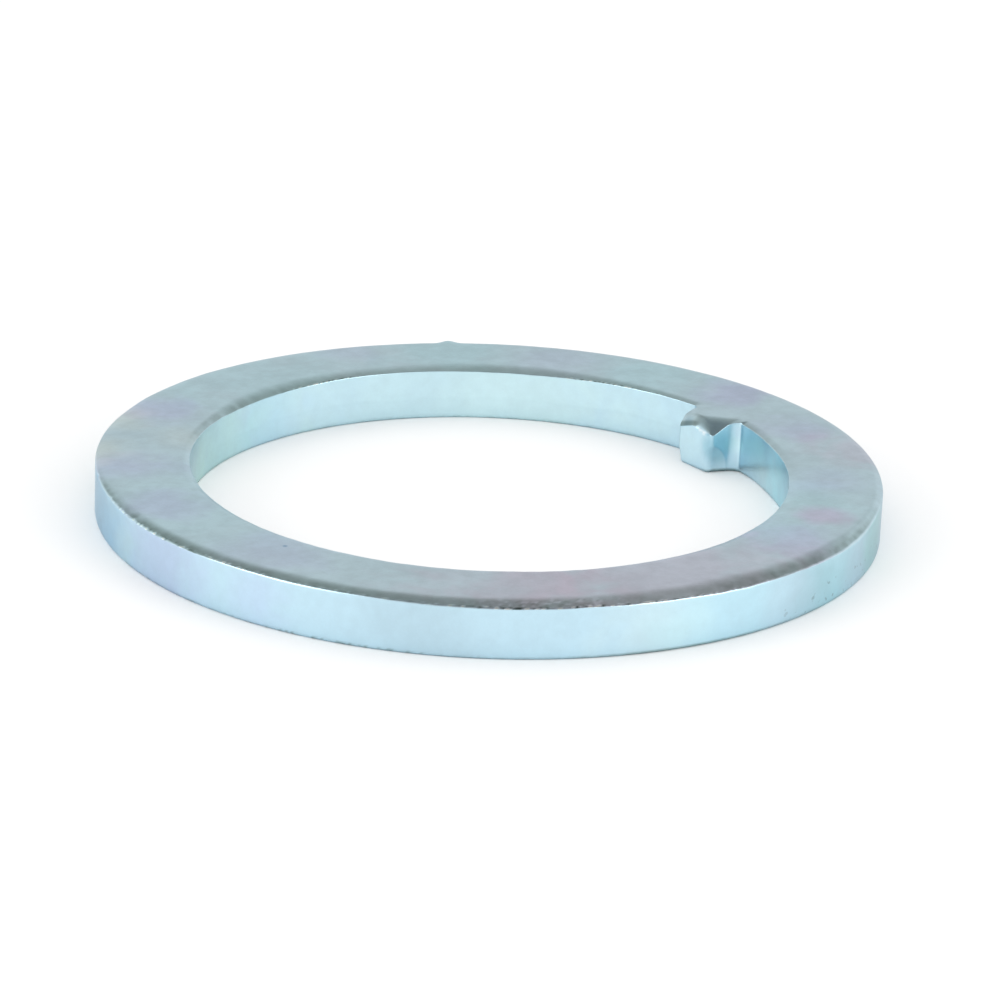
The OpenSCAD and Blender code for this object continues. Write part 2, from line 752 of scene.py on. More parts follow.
@dataclass(frozen=True)
class Nick:
    """A small dent or burr on the outer wall or its upper edge.

    Attributes:
        angle_deg: Its place round the ring, from the key.
        height_mm: How high on the wall its middle is.
        length_mm: Its length along the wall.
        tall_mm: Its size up the wall.
        depth_mm: How deep it goes in; a burr stands out and is negative.
    """

    angle_deg: float
    height_mm: float
    length_mm: float
    tall_mm: float
    depth_mm: float


@dataclass(frozen=True)
class Tear:
    """A round hollow torn in one flank of the key, below the tip's corner.

    Attributes:
        side: 1 for the flank on +Y, -1 for the one on -Y.
        reach_mm: The hollow's radius on the flank.
        depth_mm: Its greatest depth.
        ahead_mm: How far its middle lies in front of the tip.
        height_mm: How high its middle lies over the lower face.
    """

    side: int
    reach_mm: float
    depth_mm: float
    ahead_mm: float
    height_mm: float

    def depth(self, along: np.ndarray, z: np.ndarray) -> np.ndarray:
        """The hollow's depth on the flank.

        Args:
            along: Distances from the tip along the flank.
            z: Heights over the lower face.

        Returns:
            The depth, 0 outside the hollow.
        """
        ball = (self.reach_mm**2 + self.depth_mm**2) / (2 * self.depth_mm)
        off = (along + self.ahead_mm) ** 2 + (z - self.height_mm) ** 2
        return np.maximum(np.sqrt(np.maximum(ball**2 - off, 0.0)) - (ball - self.depth_mm), 0.0)


@dataclass(frozen=True)
class KeyDroop:
    """How the key's top bends down over its tip, most of all at the tip's corners.

    Attributes:
        tip: Width, slope and curve of the bend along the tip, which fades towards -Y.
        corners: The same over the corner on -Y and the one on +Y, from the corner inwards.
        folds_deg: How far each corner's fold is turned from the tip's edge to the flank.
        blend: How sharply one corner's bend takes over from the other's.
    """

    tip: tuple[float, float, float] = (0.44, 1.0, 0.16)
    corners: tuple[tuple[float, float, float], ...] = ((1.22, 0.62, 0.62), (0.90, 0.52, 0.40))
    folds_deg: tuple[float, float] = (41.0, 40.0)
    blend: float = 6.0

    def drop(self, plan: np.ndarray, tip_x: float, half_w: float) -> np.ndarray:
        """How far the key's top has dropped.

        Args:
            plan: Points in plan.
            tip_x: Distance of the tip from the axis.
            half_w: Half the key's width.

        Returns:
            The drop at each point.
        """
        total = np.zeros(len(plan))
        for side, fold, (width, slope, curve) in zip((-1.0, 1.0), self.folds_deg, self.corners):
            angle = math.radians(fold)
            across = np.array([-math.cos(angle), side * math.sin(angle)])
            past = (plan - np.array([tip_x, side * half_w])) @ across + width
            total += bent(past, slope, curve) ** self.blend
        width, slope, curve = self.tip
        along_tip = bent(width - (plan[:, 0] - tip_x), slope, curve)
        return total ** (1 / self.blend) + along_tip * smoothstep(-1.1, 0.3, plan[:, 1])


@dataclass(frozen=True)
class EdgeDroop:
    """How the ring's upper face rolls over to one of its walls.

    Attributes:
        stops: Angle, width and depth of the droop at places round the ring.
        unevenness: Share, pitch and seed of each noise in the width.
        curve: Share of the width over which the face bends before it runs on straight.
    """

    stops: Stops
    unevenness: tuple[tuple[float, float, int], ...]
    curve: float

    def drop(self, angle: np.ndarray, from_wall: np.ndarray, circle: np.ndarray) -> np.ndarray:
        """How far the face has dropped.

        Args:
            angle: Each point's angle round the ring.
            from_wall: Its distance from the wall.
            circle: The outer wall's point beside it, in plan.

        Returns:
            The drop.
        """
        degrees = np.degrees(angle) % 360
        width, depth = around(self.stops, degrees, 1), around(self.stops, degrees, 2)
        uneven = sum(share * lattice_noise(circle, *noise) for share, *noise in self.unevenness)
        slope = depth / ((1 - self.curve / 2) * width)
        return bent(width * (1 + uneven) - from_wall, slope, self.curve * width)


# Widest on one side, where the punch pressed hardest
OUTER_DROOP = EdgeDroop(
    stops=(
        (0, 0.40, 0.08),
        (150, 0.40, 0.08),
        (166, 0.42, 0.21),
        (180, 0.50, 0.20),
        (192, 0.58, 0.12),
        (214, 0.62, 0.12),
        (225, 0.68, 0.17),
        (236, 0.80, 0.18),
        (247, 0.95, 0.15),
        (258, 1.10, 0.17),
        (268, 1.02, 0.20),
        (280, 0.82, 0.23),
        (290, 0.62, 0.33),
        (298, 0.50, 0.37),
        (308, 0.35, 0.18),
        (360, 0.40, 0.08),
    ),
    unevenness=((0.05, 4.0, 11), (0.04, 1.1, 12), (0.035, 0.4, 15)),
    curve=0.4,
)

BORE_DROOP = EdgeDroop(
    stops=(
        (0, 0.35, 0.06),
        (15, 0.45, 0.07),
        (30, 0.65, 0.11),
        (43, 0.85, 0.14),
        (57, 0.85, 0.12),
        (71, 0.85, 0.10),
        (85, 0.85, 0.12),
        (99, 0.85, 0.19),
        (114, 0.50, 0.21),
        (125, 0.35, 0.18),
        (140, 0.35, 0.12),
        (300, 0.60, 0.13),
        (330, 0.50, 0.08),
        (348, 0.40, 0.10),
        (360, 0.35, 0.06),
    ),
    unevenness=((0.06, 3.0, 13), (0.04, 0.8, 14), (0.03, 0.4, 17)),
    curve=0.6,
)


@dataclass(frozen=True)
class EdgeShadeAndGlints:
    """Where shade is painted along the edges, and glints and dark specks along their lips.

    The rolled upper edges and the key's bent top get painted shade over the dark sky that
    they reflect, and the lower edges get painted shade where they meet the sheet.

    Attributes:
        outer_shade: How much painted shade the outer droop gets at places round the ring.
        outer_glints: How strongly painted glints and dark specks show on the lip below it.
        bore_shade: How much painted shade the bore's droop gets.
        bore_glints: How strongly they show on the bore's lip.
        key_shade: How much painted shade the key's top gets where it has bent down.
        tip_dark: How much darker it is along the +Y part of the tip's edge.
        lower_shade: How much painted shade the lower edges get everywhere.
        lower_shade_spells: Angle, width and strength of the places where that shade is deeper.
        lower_shade_flecks: The same of the place where it has dark flecks.
        front_glints: The same of the place where the glints spread in over the outer droop.
    """

    outer_shade: Stops = (
        (150, 0),
        (160, 0.42),
        (192, 0.42),
        (225, 0.2),
        (250, 0.2),
        (268, 0.32),
        (298, 0.42),
        (312, 0),
    )
    outer_glints: Stops = (
        (160, 0),
        (168, 0.3),
        (180, 0.6),
        (192, 0.9),
        (200, 0.3),
        (225, 0.3),
        (235, 1),
        (250, 1),
        (260, 0.4),
        (290, 0),
    )
    bore_shade: Stops = (
        (0, 0.1),
        (50, 0.1),
        (99, 0.2),
        (126, 0.25),
        (142, 0),
        (325, 0),
        (350, 0.2),
        (360, 0.1),
    )
    bore_glints: Stops = (
        (14, 0),
        (22, 0.7),
        (34, 0.7),
        (40, 0),
        (78, 0),
        (81, 0.8),
        (85, 0.8),
        (94, 0.4),
        (99, 0),
    )
    key_shade: float = 0.16
    tip_dark: float = 0.5
    lower_shade: float = 0.1
    lower_shade_spells: tuple[tuple[float, float, float], ...] = ((261, 24, 0.38), (354, 5, 0.5))
    lower_shade_flecks: tuple[float, float, float] = (208, 30, 0.45)
    front_glints: tuple[float, float, float] = (240, 14, 0.22)


# ---------------------------------------------------------------- the washer


@dataclass
class BoreOutline:
    """The outline of the bore with its key, seen from above, in millimetres.

    The points go round the bore from the key's +Y root, the long way to its -Y root, and
    then round the key.

    Attributes:
        bore_r: Radius of the bore.
        outer_r: Radius of the outer wall.
        tip_x: Distance of the key's tip from the axis.
        half_w: Half the key's width.
        corner_r: Radius of the tip's corners.
        torn_corner_r: Radius that the corner on -Y has where it is torn.
        root_r: Radius of the fillets at the key's root.
        relief: How far the wall beside the -Y root stands back.
        bore_steps: Number of points along the bore.
        root_steps: Number along each root's fillet.
        flank_steps: Number along each flank.
        corner_steps: Number round each of the tip's corners.
        tip_steps: Number along the tip.
        point: The outline's points.
        torn_point: The same points where the key's corners are torn.
        inward: At each point, the direction into the metal.
        outer_point: The outer wall's point that is joined to it.
        angle: The angle of that outer point, in radians.
        stand_back: How far the wall has been set back there.
        key_share: 1 on the key, 0 off it, and between them along the fillets.
        ends: Where each stretch of the outline starts.
    """

    bore_r: float
    outer_r: float
    tip_x: float
    half_w: float
    corner_r: float
    torn_corner_r: float
    root_r: float
    relief: float
    bore_steps: int = 760
    root_steps: int = 16
    flank_steps: int = 14
    corner_steps: int = 10
    tip_steps: int = 26
    point: np.ndarray = field(init=False)
    torn_point: np.ndarray = field(init=False)
    inward: np.ndarray = field(init=False)
    outer_point: np.ndarray = field(init=False)
    angle: np.ndarray = field(init=False)
    stand_back: np.ndarray = field(init=False)
    key_share: np.ndarray = field(init=False)
    ends: np.ndarray = field(init=False)

    def __post_init__(self) -> None:
        """Lays out the points, the directions into the metal and the partners outside."""
        self.point, self.inward = self.lay(self.corner_r)
        self.torn_point, _ = self.lay(self.torn_corner_r)

        # Where the key's lines end on the outer wall, as shares of its half width
        ends = self.ends
        root = math.atan2(*self.root_centre()[::-1])
        shares = (0.84, 0.66, 0.5)
        flank, corner, tip = (math.asin(s * self.half_w / self.outer_r) for s in shares)
        index = np.arange(len(self.point))
        turns = (-root, -flank, -corner, -tip, tip, corner, flank, root)
        marks = [root] + [2 * math.pi + turn for turn in turns]
        self.angle = np.interp(index, ends, marks)
        self.outer_point = self.outer_r * np.stack([np.cos(self.angle), np.sin(self.angle)], 1)
        self.key_share = np.interp(index, ends[[0, 1, 2, 7, 8]], [0, 0, 1, 1, 0])

        # Beside the -Y root the wall stands back, and less and less further on
        below = -self.point[:, 1]
        beside = smoothstep(self.half_w, self.half_w + 0.4, below) * smoothstep(4.8, 1.9, below)
        near_root = (self.point[:, 0] > 0) & (index < ends[2])
        self.stand_back = self.relief * np.where(near_root, beside, 0.0)
        away = self.point / np.linalg.norm(self.point, axis=1)[:, None]
        self.point = self.point + away * self.stand_back[:, None]
        self.torn_point = self.torn_point + away * self.stand_back[:, None]

    def root_centre(self) -> tuple[float, float]:
        """Centre of the fillet at the key's +Y root."""
        y = self.half_w + self.root_r
        return math.sqrt((self.bore_r - self.root_r) ** 2 - y**2), y

    def lay(self, corner_r: float) -> tuple[np.ndarray, np.ndarray]:
        """Lays out the outline with one radius at the tip's corners.

        Args:
            corner_r: That radius.

        Returns:
            The points, and at each the direction into the metal.
        """
        root_x, root_y = self.root_centre()
        root_angle = math.atan2(root_y, root_x)
        corner_x = self.tip_x + corner_r
        corner_y = self.half_w - corner_r
        bore_r, half_w = self.bore_r, self.half_w
        quarter, half, full = math.pi / 2, math.pi, 2 * math.pi
        parts = [
            arc_points((0, 0), bore_r, root_angle, full - root_angle, self.bore_steps, 1),
            arc_points((root_x, -root_y), self.root_r, -root_angle, quarter, self.root_steps, 1),
            line_points((root_x, -half_w), (corner_x, -half_w), self.flank_steps, (0, 1)),
            arc_points((corner_x, -corner_y), corner_r, -quarter, -half, self.corner_steps, -1),
            line_points((self.tip_x, -corner_y), (self.tip_x, corner_y), self.tip_steps, (1, 0)),
            arc_points((corner_x, corner_y), corner_r, half, quarter, self.corner_steps, -1),
            line_points((corner_x, half_w), (root_x, half_w), self.flank_steps, (0, -1)),
            arc_points((root_x, root_y), self.root_r, -quarter, root_angle, self.root_steps, 1),
        ]
        self.ends = np.cumsum([0] + [len(p) for p, _ in parts])
        return np.concatenate([p for p, _ in parts]), np.concatenate([d for _, d in parts])

    def flank_span(self, side: int) -> slice:
        """The columns from one root to that side's end of the tip."""
        ends = self.ends
        return slice(ends[1], ends[4] + 1) if side < 0 else slice(ends[5], ends[8])


@dataclass(frozen=True)
class Rows:
    """How many rows of points the mesh has on each stretch of the ring's section.

    Attributes:
        outer_wall: Rows on the outer wall.
        bore_wall: Rows on the bore's wall.
        lip: Rows on each upper lip.
        near_outer: Close rows on the upper face, near its outer edge.
        outer_span_mm: How far in from that edge they reach.
        between: Rows in the face's middle.
        near_bore: Close rows near its inner edge.
        bore_span_mm: How far from that edge they reach.
        lower_break: Rows on each lower edge.
        under: Rows across the underside.
    """

    outer_wall: int = 13
    bore_wall: int = 34
    lip: int = 4
    near_outer: int = 14
    outer_span_mm: float = 1.1
    between: int = 6
    near_bore: int = 22
    bore_span_mm: float = 1.4
    lower_break: int = 3
    under: int = 4


@dataclass
class Washer:
    """The washer: its form, the marks that the press and its use have left, and the shade painted
    on its edges.

    Attributes:
        outer_r: Radius of the outer wall, in millimetres as all sizes here.
        thickness: Distance between the faces.
        outline: The bore with its key.
        finish: The plating.
        outer_droop: The droop round the outer wall.
        bore_droop: The droop round the bore.
        key_droop: The droop over the key's tip.
        tears: The hollows torn below the tip's corners.
        nicks: Small dents and burrs on the outer wall.
        painted_edges: Where shade, glints and dark specks are painted along the edges.
        outer_lip: Radius of the last bright lip between the outer droop and the wall.
        bore_lip: Radius of the same lip round the bore.
        tip_lip: Radius of the same lip on the -Y half of the key's tip.
        break_r: Radius on the lower edges.
        flank_break_r: The larger radius below the key's -Y flank.
        band_top: Height of the torn band low on the bore's wall.
        band_depth: How far the band stands back.
        burr_share: How much of the outer droop a burr fills up.
        rows: The mesh's rows.
    """

    outer_r: float
    thickness: float
    outline: BoreOutline
    finish: ZincPassivate
    outer_droop: EdgeDroop = OUTER_DROOP
    bore_droop: EdgeDroop = BORE_DROOP
    key_droop: KeyDroop = KeyDroop()
    tears: tuple[Tear, ...] = ()
    nicks: tuple[Nick, ...] = ()
    painted_edges: EdgeShadeAndGlints = EdgeShadeAndGlints()
    outer_lip: float = 0.07
    bore_lip: float = 0.03
    tip_lip: float = 0.20
    break_r: float = 0.18
    flank_break_r: float = 0.22
    band_top: float = 1.0
    band_depth: float = 0.008
    burr_share: float = 0.85
    rows: Rows = Rows()

    def top_height(self, plan: np.ndarray) -> np.ndarray:
        """Height of the upper face along one row of the mesh.

        Args:
            plan: The row's points in plan, one for each point of the outline.

        Returns:
            The height of each point.
        """
        o = self.outline
        radius = np.hypot(plan[:, 0], plan[:, 1])
        outer = self.outer_droop.drop(o.angle, self.outer_r - radius, o.outer_point)
        for burr in (nick for nick in self.nicks if nick.depth_mm < 0):
            beside = self.turn_to(burr, o.angle) * self.outer_r
            outer = outer * (1 - self.burr_share * bump(beside, burr.length_mm / 2))
        on_key = smoothstep(0, 1, o.key_share)
        from_bore = np.where(o.key_share > 0, radius - o.bore_r, np.hypot(*(plan - o.point).T))
        bore = self.bore_droop.drop(o.angle, from_bore, o.outer_point) * (1 - on_key)
        key = self.key_droop.drop(plan, o.tip_x, o.half_w) * smoothstep(0.3, 0.95, o.key_share)
        return self.thickness - outer - bore - key

    def turn_to(self, nick: Nick, angle: np.ndarray) -> np.ndarray:
        """The turn from a nick's middle to each angle, in radians."""
        return (angle - math.radians(nick.angle_deg) + math.pi) % (2 * math.pi) - math.pi

    def face_rows(self, start: np.ndarray, end: np.ndarray) -> np.ndarray:
        """Lays rows of points across the upper face, close together near both edges.

        Args:
            start: The row at the outer edge.
            end: The row at the inner edge.

        Returns:
            Rows of points in plan, with both edges' rows.
        """
        rows = self.rows
        length = np.linalg.norm(end - start, axis=1)[:, None]
        middle = length - rows.outer_span_mm - rows.bore_span_mm
        near = 1 - np.cos(np.linspace(0, math.pi / 2, rows.near_outer))
        far = 1 - np.cos(np.linspace(math.pi / 2, 0, rows.near_bore))
        out = [start + (end - start) * (rows.outer_span_mm * d / length) for d in near]
        for t in np.linspace(0, 1, rows.between + 2)[1:-1]:
            out.append(start + (end - start) * ((rows.outer_span_mm + middle * t) / length))
        out += [end + (start - end) * (rows.bore_span_mm * d / length) for d in far]
        return np.array(out)

    def bore_wall(self, z: np.ndarray) -> tuple[np.ndarray, np.ndarray]:
        """Lays rows of points down the bore's wall and the key's.

        Args:
            z: Heights, one row of them for each row of points.

        Returns:
            The points in plan, and how torn the metal is at each.
        """
        o = self.outline
        plan = np.repeat(o.point[None], len(z), axis=0)
        torn = np.zeros_like(z)
        away = o.point / np.linalg.norm(o.point, axis=1)[:, None]

        # The wall beside the -Y root stands back a little less towards its foot
        plan -= away[None] * (o.stand_back[None] * smoothstep(2.2, 0.0, z) * 0.2)[:, :, None]

        # The tears, which round the tip's corner on -Y
        for tear in self.tears:
            span = o.flank_span(tear.side)
            depth = tear.depth(plan[:, span, 0] - o.tip_x, z[:, span])
            share = smoothstep(0.0, 0.06, depth)
            if tear.side < 0:
                rounder = smoothstep(0.0, 0.2, depth)[:, :, None]
                plan[:, span] += (o.torn_point[span] - o.point[span])[None] * rounder
            plan[:, span, 1] -= tear.side * depth
            torn[:, span] = np.maximum(torn[:, span], 0.4 * share)

        # The tip runs straight from one corner to the other
        first, last = o.ends[4], o.ends[5]
        y = o.point[first : last + 1, 1]
        t = (y - y[0]) / (y[-1] - y[0])
        low, high = plan[:, first, 1][:, None], plan[:, last, 1][:, None]
        plan[:, first : last + 1, 1] = low + (high - low) * t[None]

        # Low on the bore's wall the metal parted before the punch was through
        circle = o.outer_point
        wander = 0.10 * lattice_noise(circle, 1.8, 3) + 0.05 * lattice_noise(circle, 0.6, 4)
        off_key = 1 - smoothstep(0.0, 0.6, o.key_share)
        band = smoothstep(0.0, 0.14, (self.band_top + wander)[None] - z) * off_key[None]
        plan += (o.inward * self.band_depth)[None] * band[:, :, None]
        return plan, np.maximum(torn, 0.15 * band)

    def lip_rows(
        self, edge: np.ndarray, edge_z: np.ndarray, inward: np.ndarray, radius: np.ndarray
    ) -> np.ndarray:
        """Lays rows of points from the upper face over its lip to a wall.

        Args:
            edge: The face's last points, in plan.
            edge_z: Their heights.
            inward: The direction into the metal at each.
            radius: The lip's radius at each.

        Returns:
            Rows of points, the last one on the wall.
        """
        grade = np.maximum((self.top_height(edge + inward * 0.01) - edge_z) / 0.01, 0.0)
        wall_xy = edge - inward * radius
        lip = radius[:, 0]
        knee_z = edge_z - grade * lip
        out = []
        for t in np.linspace(0, 1, self.rows.lip + 1)[1:]:
            xy = edge * (1 - t) ** 2 + wall_xy * (1 - (1 - t) ** 2)
            z = edge_z * (1 - t) ** 2 + knee_z * 2 * t * (1 - t) + (knee_z - lip) * t * t
            out.append(np.column_stack([xy, z]))
        return np.array(out)

    def break_rows(
        self, foot: np.ndarray, inward: np.ndarray, radius: np.ndarray
    ) -> np.ndarray:
        """Lays rows of points from a wall's foot round the lower edge.

        Args:
            foot: The wall's last points.
            inward: The direction into the metal at each.
            radius: The edge's radius at each.

        Returns:
            Rows of points, the last one on the underside.
        """
        out = []
        for t in np.linspace(0, 1, self.rows.lower_break + 1)[1:]:
            xy = foot[:, :2] + inward * (radius * t * t)[:, None]
            out.append(np.column_stack([xy, radius * (1 - t) ** 2]))
        return np.array(out)

    def build(self) -> bpy.types.Object:
        """Builds the washer's mesh.

        Returns:
            The new object, not yet in a body.
        """
        o, rows = self.outline, self.rows
        columns = len(o.point)
        radial = o.outer_point / self.outer_r
        flank = [o.ends[1], o.ends[2], o.ends[3], o.ends[3] + 4]
        on_flank = np.interp(np.arange(columns), flank, [0, 1, 1, 0], left=0, right=0)
        breaks = self.break_r + (self.flank_break_r - self.break_r) * on_flank

        # The face's two edges, a lip's width in from the walls
        y = o.point[:, 1]
        on_tip = smoothstep(0.1, -0.2, y) * smoothstep(-1.0, -0.75, y)
        on_tip *= smoothstep(0.9, 1.0, o.key_share)
        inner_lip_r = (self.bore_lip + (self.tip_lip - self.bore_lip) * on_tip)[:, None]
        uneven = 1 + 0.35 * lattice_noise(o.outer_point, 1.3, 16)
        outer_lip_r = self.outer_lip * uneven[:, None]
        inner = o.point + o.inward * inner_lip_r
        outer = o.outer_point - radial * outer_lip_r
        top = self.face_rows(outer, inner)
        top_z = np.array([self.top_height(row) for row in top])

        inner_lip = self.lip_rows(inner, top_z[-1], o.inward, inner_lip_r)
        outer_lip = self.lip_rows(outer, top_z[0], -radial, outer_lip_r)

        share = np.linspace(0, 1, rows.bore_wall + 1)[1:, None]
        inner_z = inner_lip[-1][None, :, 2] * (1 - share) + breaks[None] * share
        inner_plan, inner_torn = self.bore_wall(inner_z)
        inner_wall = np.concatenate([inner_plan, inner_z[:, :, None]], axis=2)

        share = np.linspace(0, 1, rows.outer_wall + 1)[1:, None]
        outer_z = outer_lip[-1][None, :, 2] * (1 - share) + self.break_r * share

        # Low on one stretch of the outer wall the plating is pitted
        degrees = np.degrees(o.angle) % 360
        pitted_arc = smoothstep(270, 285, degrees) * smoothstep(318, 308, degrees)
        outer_pitted = pitted_arc[None] * smoothstep(1.25, 0.95, outer_z)
        outer_plan = np.repeat(o.outer_point[None], len(outer_z), 0)
        outer_wall = np.concatenate([outer_plan, outer_z[:, :, None]], axis=2)

        inner_break = self.break_rows(inner_wall[-1], o.inward, breaks)
        outer_break = self.break_rows(outer_wall[-1], -radial, np.full(columns, self.break_r))
        under = []
        for t in np.linspace(0, 1, rows.under + 2)[1:-1]:
            xy = inner_break[-1][:, :2] * (1 - t) + outer_break[-1][:, :2] * t
            under.append(np.column_stack([xy, np.zeros(columns)]))

        face = np.concatenate([top, top_z[:, :, None]], axis=2)
        outside = [outer_wall[::-1], outer_lip[::-1]]
        inside = [inner_lip, inner_wall, inner_break]
        points = np.concatenate([*outside, face, *inside, under, outer_break[::-1]])
        torn, pitted = np.zeros(points.shape[:2]), np.zeros(points.shape[:2])
        pitted[: len(outer_pitted)] = outer_pitted[::-1]
        first = len(outer_wall) + len(outer_lip) + len(face) + len(inner_lip)
        torn[first : first + len(inner_torn)] = inner_torn
        wall = np.ones(points.shape[:2])
        wall[len(outer_wall) + rows.lip // 2 : first - rows.lip // 2] = 0.0
        # Shade, glints and dark specks painted along the edges
        edge_shade_and_glints = self.paint_edge_shade_and_glints(points, wall, breaks)
        self.add_nicks(points)
        marks = {"torn": torn, "pitted": pitted, "edge_shade_and_glints": edge_shade_and_glints, "wall": wall}
        return self.to_object(points * MM, marks)

    def paint_edge_shade_and_glints(self, points: np.ndarray, wall: np.ndarray, breaks: np.ndarray) -> np.ndarray:
        """Paints shade along the edges, and glints and dark specks along their lips.

        Args:
            points: All rows of points.
            wall: 1 at the points of the walls and the underside, 0 on the upper face.
            breaks: The lower edge's radius at each point of the outline.

        Returns:
            How much painted shade each point gets, negative where a painted glint lightens it.
        """
        o, painted_edges = self.outline, self.painted_edges
        x, y, z = np.moveaxis(points, 2, 0)
        radius = np.hypot(x, y)
        degrees = np.degrees(np.arctan2(y, x)) % 360
        flat = points.reshape(-1, 3)[:, :2]
        spots = lattice_noise(flat, 0.35, 21) + 0.8 * lattice_noise(flat, 0.16, 22)
        spots = spots.reshape(x.shape)
        # Speckle for the lips: painted glints where the noise is low, dark specks where it is high
        glint_and_speck = lattice_noise(flat, 0.11, 24).reshape(x.shape)
        glint_and_speck = smoothstep(0.2, 0.6, glint_and_speck) - 2.0 * smoothstep(0.25, 0.6, -glint_and_speck)

        # Painted shade where the lower edges meet the sheet
        contact_shade = painted_edges.lower_shade + sum(spell(degrees, place) for place in painted_edges.lower_shade_spells)
        contact_shade += 0.08 * spots + np.maximum(glint_and_speck, 0) * spell(degrees, painted_edges.lower_shade_flecks)
        low = smoothstep(0.8, 0.4, z / breaks[None]) * np.clip(contact_shade, 0.05, 0.9)

        # Painted shade on the outer droop, and painted glints and dark specks on its lip
        off = self.outer_r - radius
        width = around(self.outer_droop.stops, degrees)
        dark = around(painted_edges.outer_shade, degrees) * smoothstep(0.85, 0.3, off / width)
        dark *= smoothstep(0.04, 0.1, off) * (1 + 0.28 * spots)
        front = smoothstep(0.8, 0.4, off) * spell(degrees, painted_edges.front_glints)
        rough = around(painted_edges.outer_glints, degrees) * (0.7 * smoothstep(0.16, 0.06, off) + front)

        # Painted shade on the bore's droop, and painted glints and dark specks on its lip
        off = radius - o.bore_r
        off_key = (o.key_share == 0)[None]
        bore = smoothstep(0.42, 0.12, off) * smoothstep(0.0, 0.04, off) * (1 + 0.2 * spots)
        dark += around(painted_edges.bore_shade, degrees) * bore * off_key
        rough += around(painted_edges.bore_glints, degrees) * smoothstep(0.12, 0.03, off) * off_key

        # Painted shade on the key's bent top, and a darker line along the +Y part of the tip's edge
        on_key = (np.abs(y) < o.half_w + 0.05) & (x > 0) & (radius < o.bore_r)
        bent_down = smoothstep(0.04, 0.16, self.thickness - z)
        tip_edge = smoothstep(0.2, 0.1, x - o.tip_x) * smoothstep(-0.2, 0.3, y)
        dark += (painted_edges.key_shade * bent_down + painted_edges.tip_dark * tip_edge) * on_key

        return np.maximum(low, dark * (1 - wall)) + glint_and_speck * rough * (1 - wall)

    def add_nicks(self, points: np.ndarray) -> None:
        """Presses the nicks into the outer side.

        Args:
            points: All rows of points, which are moved in place.
        """
        radius = np.hypot(points[:, :, 0], points[:, :, 1])
        angle = np.arctan2(points[:, :, 1], points[:, :, 0])
        outside = smoothstep(self.outer_r - 1.2, self.outer_r - 0.6, radius)
        for nick in self.nicks:
            along = bump(self.turn_to(nick, angle) * self.outer_r, nick.length_mm / 2)
            form = along * bump(points[:, :, 2] - nick.height_mm, nick.tall_mm / 2)
            push = (nick.depth_mm * form * outside / radius)[:, :, None]
            points[:, :, :2] -= points[:, :, :2] * push

    def to_object(self, points: np.ndarray, marks: dict[str, np.ndarray]) -> bpy.types.Object:
        """Makes the object from rows of points that close round the ring's section.

        Args:
            points: Rows of points in metres, each row once round the ring.
            marks: Named values at each point, which the material reads.

        Returns:
            The object.
        """
        rows, columns = points.shape[:2]
        index = np.arange(rows * columns).reshape(rows, columns)
        down, right = np.roll(index, -1, axis=0), np.roll(index, -1, axis=1)
        both = np.roll(down, -1, axis=1)
        quads = np.stack([index, down, both, right], axis=2).reshape(-1, 4)
        mesh = bpy.data.meshes.new("washer_mesh")
        mesh.vertices.add(rows * columns)
        mesh.vertices.foreach_set("co", points.astype(np.float32).ravel())
        mesh.loops.add(quads.size)
        mesh.loops.foreach_set("vertex_index", quads.astype(np.int32).ravel())
        mesh.polygons.add(len(quads))
        mesh.polygons.foreach_set("loop_start", np.arange(0, quads.size, 4, dtype=np.int32))
        mesh.polygons.foreach_set("use_smooth", np.ones(len(quads), bool))
        mesh.update(calc_edges=True)
        mesh.validate()
        for name, values in marks.items():
            attribute = mesh.attributes.new(name, "FLOAT", "POINT")
            attribute.data.foreach_set("value", values.astype(np.float32).ravel())
        return link_object(bpy.data.objects.new("plated_washer", mesh))

    def dress(self, obj: bpy.types.Object) -> None:
        """Gives the washer its plating."""
        obj.data.materials.append(self.finish.material())


# ---------------------------------------------------------------- studio and camera


@dataclass(frozen=True)
class Softbox:
    """A rectangular lamp that faces the washer.

    Attributes:
        name: The lamp's name.
        azimuth_deg: Its direction round the washer, from the key's.
        elevation_deg: How high it stands over the floor.
        distance: How far it is from the washer, in metres.
        size: Width and height, in metres.
        radiance: How bright its face is, where 1 looks white.
    """

    name: str
    azimuth_deg: float
    elevation_deg: float
    distance: float
    size: tuple[float, float]
    radiance: float

    def build(self) -> bpy.types.Object:
        """Makes the lamp and points it at the washer.

        Returns:
            The lamp's object.
        """
        data = bpy.data.lights.new(self.name, "AREA")
        data.shape = "RECTANGLE"
        data.size, data.size_y = self.size
        data.energy = self.radiance * math.pi * self.size[0] * self.size[1]
        lamp = link_object(bpy.data.objects.new(self.name, data))
        away = direction(self.azimuth_deg, self.elevation_deg)
        lamp.location = away * self.distance
        lamp.rotation_mode = "QUATERNION"
        lamp.rotation_quaternion = (-away).to_track_quat("-Z", "Y")
        return lamp


